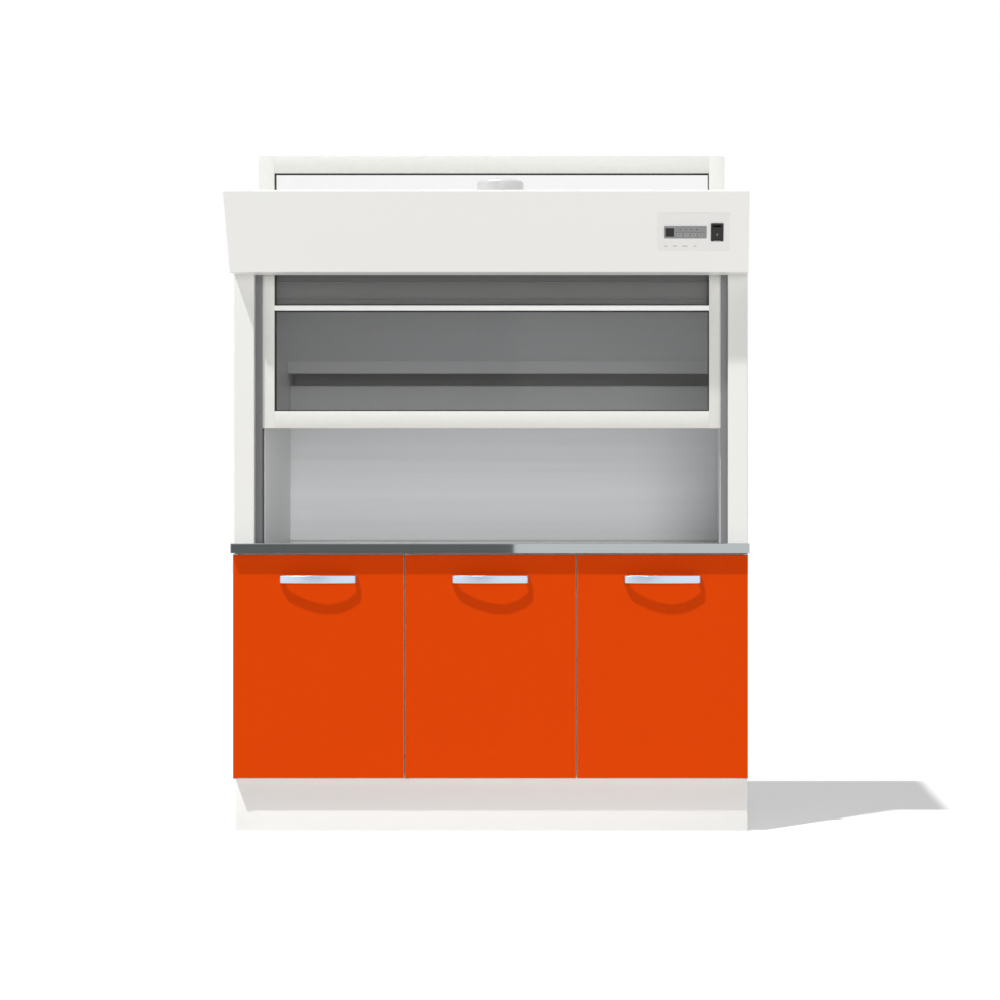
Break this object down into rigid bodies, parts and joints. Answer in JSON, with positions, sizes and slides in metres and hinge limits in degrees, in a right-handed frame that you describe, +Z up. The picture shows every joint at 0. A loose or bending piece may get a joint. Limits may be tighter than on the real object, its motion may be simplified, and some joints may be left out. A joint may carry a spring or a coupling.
{
  "type": "dental laboratory hood",
  "caption": "Extraction hood on a base cabinet: orange doors with bow handles, steel worktop, counterbalanced glazed sash, leaning header with keypad and rocker, exhaust spigot on the roof.",
  "frame": {"origin": "on the floor, in the middle of the hood's width and depth", "axes": "+X to the right seen from the front, +Y to the rear, +Z up; the front faces -Y"},
  "size_m": [1.508, 0.8684, 1.978],
  "materials": {
    "white_metal": "satin",
    "white_board": "satin",
    "orange_lacquer": "satin",
    "core_board": "matte",
    "worktop_steel": "polished",
    "handle_aluminium": "satin",
    "sash_aluminium": "satin",
    "guide_aluminium": "satin",
    "sash_glass": "gloss",
    "gasket_rubber": "matte",
    "glide_nylon": "matte",
    "liner_laminate": "satin",
    "baffle_metal": "satin",
    "spigot_steel": "satin",
    "plate_metal": "satin",
    "keypad_grey": "matte",
    "key_grey": "matte",
    "display_black": "gloss",
    "switch_black": "gloss",
    "pivot_steel": "satin",
    "cable_steel": "satin",
    "pulley_nylon": "matte",
    "weight_steel": "matte"
  },
  "bodies": {
    "cabinet": {"plinth_frame": "white_board", "carcass_side_left": "white_board", "carcass_side_right": "white_board", "carcass_floor": "white_board", "divider_left": "white_board", "divider_right": "white_board", "carcass_back": "white_board", "top_rails": "white_board", "shelves": "white_board", "shelf_pins": "pivot_steel", "pivot_plates": "pivot_steel", "worktop_skin": "worktop_steel", "worktop_board": "core_board", "post_left": "white_metal", "post_right": "white_metal", "guide_left": "guide_aluminium", "guide_right": "guide_aluminium", "side_panel_left": "white_metal", "side_panel_right": "white_metal", "liners": "liner_laminate", "lower_baffle": "baffle_metal", "upper_baffle": "baffle_metal", "pocket_panel": "baffle_metal", "rear_wall": "white_metal", "roof_panel": "white_metal", "exhaust_spigot": "spigot_steel", "spigot_cap": "spigot_steel", "header_fascia": "white_metal", "header_caps": "white_metal", "header_back": "white_metal", "control_plate": "plate_metal", "keypad_bezel": "keypad_grey", "display_window": "display_black", "rocker_frame": "switch_black", "pulley_axles": "pivot_steel", "sash_cables": "cable_steel"},
    "sash": {"sash_stile_left": "sash_aluminium", "sash_stile_right": "sash_aluminium", "sash_top_rail": "sash_aluminium", "sash_bottom_rail": "sash_aluminium", "glazing_bar": "sash_aluminium", "glass_upper": "sash_glass", "glass_lower": "sash_glass", "sash_gaskets": "gasket_rubber", "sash_glides": "glide_nylon"},
    "rocker_body": {"rocker": "switch_black"},
    "left_door": {"door_left": "orange_lacquer", "handle_left": "handle_aluminium"},
    "middle_door": {"door_middle": "orange_lacquer", "handle_middle": "handle_aluminium"},
    "right_door": {"door_right": "orange_lacquer", "handle_right": "handle_aluminium"},
    "left_counterweight": {"counterweight_left": "weight_steel"},
    "left_pulley": {"pulley_left": "pulley_nylon"},
    "right_counterweight": {"counterweight_right": "weight_steel"},
    "right_pulley": {"pulley_right": "pulley_nylon"},
    "key_1_body": {"key_1": "key_grey"},
    "key_2_body": {"key_2": "key_grey"},
    "key_3_body": {"key_3": "key_grey"},
    "key_4_body": {"key_4": "key_grey"}
  },
  "joints": [
    {"name": "left_door_hinge", "type": "hinge", "parent": "cabinet", "child": "left_door", "pos_m": [-0.745, -0.26084, 0.159], "axis": [0, 0, -1], "range_deg": [0, 105]},
    {"name": "middle_door_hinge", "type": "hinge", "parent": "cabinet", "child": "middle_door", "pos_m": [-0.244, -0.26084, 0.159], "axis": [0, 0, -1], "range_deg": [0, 105]},
    {"name": "right_door_hinge", "type": "hinge", "parent": "cabinet", "child": "right_door", "pos_m": [0.745, -0.26084, 0.159], "axis": [0, 0, 1], "range_deg": [0, 105]},
    {"name": "sash_lift", "type": "slide", "parent": "cabinet", "child": "sash", "axis": [0, 0, 1], "range_m": [-0.336, 0.2], "deforming": ["sash_cables"]},
    {"name": "left_counterweight_drop", "type": "slide", "parent": "cabinet", "child": "left_counterweight", "axis": [0, 0, 1], "range_m": [-0.2, 0.336]},
    {"name": "left_pulley_turn", "type": "hinge", "parent": "cabinet", "child": "left_pulley", "pos_m": [-0.70325, -0.19784, 1.79], "axis": [0, 1, 0], "range_deg": [-677, 1135]},
    {"name": "right_counterweight_drop", "type": "slide", "parent": "cabinet", "child": "right_counterweight", "axis": [0, 0, 1], "range_m": [-0.2, 0.336]},
    {"name": "right_pulley_turn", "type": "hinge", "parent": "cabinet", "child": "right_pulley", "pos_m": [0.70325, -0.19784, 1.79], "axis": [0, 1, 0], "range_deg": [-1135, 677]},
    {"name": "key_1_press", "type": "slide", "parent": "cabinet", "child": "key_1_body", "axis": [0, 0.8815, 0.4722], "range_m": [0, 0.0015], "stiffness_N_per_m": 500},
    {"name": "key_2_press", "type": "slide", "parent": "cabinet", "child": "key_2_body", "axis": [0, 0.8815, 0.4722], "range_m": [0, 0.0015], "stiffness_N_per_m": 500},
    {"name": "key_3_press", "type": "slide", "parent": "cabinet", "child": "key_3_body", "axis": [0, 0.8815, 0.4722], "range_m": [0, 0.0015], "stiffness_N_per_m": 500},
    {"name": "key_4_press", "type": "slide", "parent": "cabinet", "child": "key_4_body", "axis": [0, 0.8815, 0.4722], "range_m": [0, 0.0015], "stiffness_N_per_m": 500},
    {"name": "rocker_tip", "type": "hinge", "parent": "cabinet", "child": "rocker_body", "pos_m": [0.6585, -0.37401, 1.73894], "axis": [1, 0, 0], "range_deg": [-14, 0]}
  ],
  "couplings": [
    {"joint": "left_counterweight_drop", "follows": "sash_lift", "ratio": -1},
    {"joint": "left_pulley_turn", "follows": "sash_lift", "rad_per_m": -58.824},
    {"joint": "right_counterweight_drop", "follows": "sash_lift", "ratio": -1},
    {"joint": "right_pulley_turn", "follows": "sash_lift", "rad_per_m": 58.824}
  ]
}
